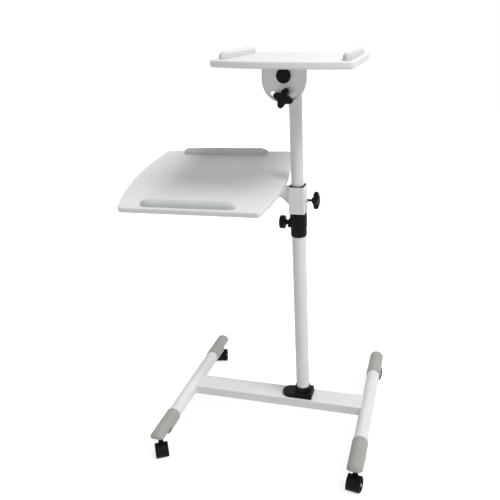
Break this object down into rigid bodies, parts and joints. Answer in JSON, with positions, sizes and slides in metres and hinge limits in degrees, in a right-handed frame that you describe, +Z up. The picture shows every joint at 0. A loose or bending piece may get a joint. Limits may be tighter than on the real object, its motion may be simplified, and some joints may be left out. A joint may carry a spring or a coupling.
{
  "type": "projector cart",
  "caption": "Rolling H-base table with a telescopic mast, a tilting top board and a second tilting board on a sliding, swivelling arm.",
  "frame": {"origin": "on the floor, at the centre of the whole table's footprint, which is its box's bottom centre", "axes": "+Z up, +X from the left leg to the right leg, +Y away from the user, so the boards' front edges face -Y"},
  "size_m": [0.6208, 0.5308, 0.9823],
  "materials": {
    "board": "white laminate",
    "zinc_steel": "zinc plated",
    "grey_plastic": "fine grained",
    "black_plastic": "fine grained",
    "black_tyre": "smooth",
    "nylon": "natural",
    "bracket_paint": "satin",
    "white_paint": "powder coated"
  },
  "bodies": {
    "root": {"leg_left": "white_paint", "leg_right": "white_paint", "crossbar": "white_paint", "tongues": "zinc_steel", "tongue_screws": "zinc_steel", "cap_front_left": "grey_plastic", "cap_front_right": "grey_plastic", "cap_back_left": "grey_plastic", "cap_back_right": "grey_plastic", "caster_stems": "zinc_steel", "shoe": "black_plastic", "shoe_screws": "zinc_steel", "mast_bolt": "zinc_steel", "lower_tube": "white_paint", "collar": "black_plastic", "collar_liner": "nylon", "collar_nut": "zinc_steel"},
    "caster_front_left": {"hood_front_left": "black_plastic", "axle_front_left": "zinc_steel"},
    "wheel_front_left_a": {"wheel_front_left_a": "black_tyre"},
    "wheel_front_left_b": {"wheel_front_left_b": "black_tyre"},
    "caster_back_left": {"hood_back_left": "black_plastic", "axle_back_left": "zinc_steel"},
    "wheel_back_left_a": {"wheel_back_left_a": "black_tyre"},
    "wheel_back_left_b": {"wheel_back_left_b": "black_tyre"},
    "caster_front_right": {"hood_front_right": "black_plastic", "axle_front_right": "zinc_steel"},
    "wheel_front_right_a": {"wheel_front_right_a": "black_tyre"},
    "wheel_front_right_b": {"wheel_front_right_b": "black_tyre"},
    "caster_back_right": {"hood_back_right": "black_plastic", "axle_back_right": "zinc_steel"},
    "wheel_back_right_a": {"wheel_back_right_a": "black_tyre"},
    "wheel_back_right_b": {"wheel_back_right_b": "black_tyre"},
    "clamp": {"clamp_knob": "black_plastic", "clamp_screw": "zinc_steel"},
    "mast_carriage": {"foot_bush": "nylon"},
    "upper_mast": {"upper_tube": "white_paint", "head_tube": "white_paint", "head_plugs": "black_plastic"},
    "top_table": {"top_bracket": "bracket_paint", "top_board": "board", "top_stops": "grey_plastic", "top_screws": "zinc_steel"},
    "top_lock": {"top_knob": "black_plastic", "top_stud": "zinc_steel"},
    "sleeve_slider": {"sleeve_rings": "black_plastic"},
    "sleeve_arm": {"sleeve": "white_paint", "sleeve_nut": "white_paint", "arm_tube": "white_paint", "gusset": "white_paint", "arm_plug": "black_plastic"},
    "sleeve_lock": {"sleeve_knob": "black_plastic", "sleeve_screw": "zinc_steel"},
    "lower_table": {"lower_bracket": "bracket_paint", "lower_board": "board", "lower_stops": "grey_plastic", "lower_screws": "zinc_steel"},
    "lower_lock": {"lower_knob": "black_plastic", "lower_stud": "zinc_steel"}
  },
  "joints": [
    {"name": "swivel_front_left", "type": "hinge", "parent": "root", "child": "caster_front_left", "pos_m": [-0.20938, -0.23258, 0.045], "axis": [0, 0, 1], "continuous": true},
    {"name": "roll_front_left_a", "type": "hinge", "parent": "caster_front_left", "child": "wheel_front_left_a", "pos_m": [-0.20538, -0.23951, 0.018], "axis": [0.866, 0.5, 0], "continuous": true},
    {"name": "roll_front_left_b", "type": "hinge", "parent": "caster_front_left", "child": "wheel_front_left_b", "pos_m": [-0.20538, -0.23951, 0.018], "axis": [0.866, 0.5, 0], "continuous": true},
    {"name": "swivel_back_left", "type": "hinge", "parent": "root", "child": "caster_back_left", "pos_m": [-0.20938, 0.24142, 0.045], "axis": [0, 0, 1], "continuous": true},
    {"name": "roll_back_left_a", "type": "hinge", "parent": "caster_back_left", "child": "wheel_back_left_a", "pos_m": [-0.20744, 0.23365, 0.018], "axis": [0.9703, 0.2419, 0], "continuous": true},
    {"name": "roll_back_left_b", "type": "hinge", "parent": "caster_back_left", "child": "wheel_back_left_b", "pos_m": [-0.20744, 0.23365, 0.018], "axis": [0.9703, 0.2419, 0], "continuous": true},
    {"name": "swivel_front_right", "type": "hinge", "parent": "root", "child": "caster_front_right", "pos_m": [0.29063, -0.23258, 0.045], "axis": [0, 0, 1], "continuous": true},
    {"name": "roll_front_right_a", "type": "hinge", "parent": "caster_front_right", "child": "wheel_front_right_a", "pos_m": [0.28951, -0.24051, 0.018], "axis": [0.9903, -0.1392, 0], "continuous": true},
    {"name": "roll_front_right_b", "type": "hinge", "parent": "caster_front_right", "child": "wheel_front_right_b", "pos_m": [0.28951, -0.24051, 0.018], "axis": [0.9903, -0.1392, 0], "continuous": true},
    {"name": "swivel_back_right", "type": "hinge", "parent": "root", "child": "caster_back_right", "pos_m": [0.29063, 0.24142, 0.045], "axis": [0, 0, 1], "continuous": true},
    {"name": "roll_back_right_a", "type": "hinge", "parent": "caster_back_right", "child": "wheel_back_right_a", "pos_m": [0.28896, 0.23359, 0.018], "axis": [0.9781, -0.2079, 0], "continuous": true},
    {"name": "roll_back_right_b", "type": "hinge", "parent": "caster_back_right", "child": "wheel_back_right_b", "pos_m": [0.28896, 0.23359, 0.018], "axis": [0.9781, -0.2079, 0], "continuous": true},
    {"name": "clamp_turn", "type": "hinge", "parent": "root", "child": "clamp", "pos_m": [0.08363, 0.00442, 0.572], "axis": [-1, 0, 0], "range_deg": [0, 360]},
    {"name": "mast_slide", "type": "slide", "parent": "root", "child": "mast_carriage", "axis": [0, 0, 1], "range_m": [0, 0.25]},
    {"name": "mast_swivel", "type": "hinge", "parent": "mast_carriage", "child": "upper_mast", "pos_m": [0.11563, 0.00442, 0.3], "axis": [0, 0, 1], "range_deg": [-180, 180]},
    {"name": "top_tilt", "type": "hinge", "parent": "upper_mast", "child": "top_table", "pos_m": [0.11563, 0.00442, 0.9285], "axis": [0, 1, 0], "range_deg": [-35, 30]},
    {"name": "top_lock_turn", "type": "hinge", "parent": "upper_mast", "child": "top_lock", "pos_m": [0.11563, -0.10358, 0.8839], "axis": [0, -1, 0], "range_deg": [0, 360]},
    {"name": "sleeve_slide", "type": "slide", "parent": "upper_mast", "child": "sleeve_slider", "axis": [0, 0, 1], "range_m": [0, 0.06]},
    {"name": "sleeve_swivel", "type": "hinge", "parent": "sleeve_slider", "child": "sleeve_arm", "pos_m": [0.11563, 0.00442, 0.598], "axis": [0, 0, 1], "range_deg": [-180, 180]},
    {"name": "sleeve_lock_turn", "type": "hinge", "parent": "sleeve_arm", "child": "sleeve_lock", "pos_m": [0.15563, 0.00442, 0.62949], "axis": [1, 0, 0], "range_deg": [0, 360]},
    {"name": "lower_tilt", "type": "hinge", "parent": "sleeve_arm", "child": "lower_table", "pos_m": [-0.11038, 0.00442, 0.65], "axis": [1, 0, 0], "range_deg": [-45, 20]},
    {"name": "lower_lock_turn", "type": "hinge", "parent": "sleeve_arm", "child": "lower_lock", "pos_m": [-0.21838, 0.00442, 0.6054], "axis": [-1, 0, 0], "range_deg": [0, 360]}
  ]
}
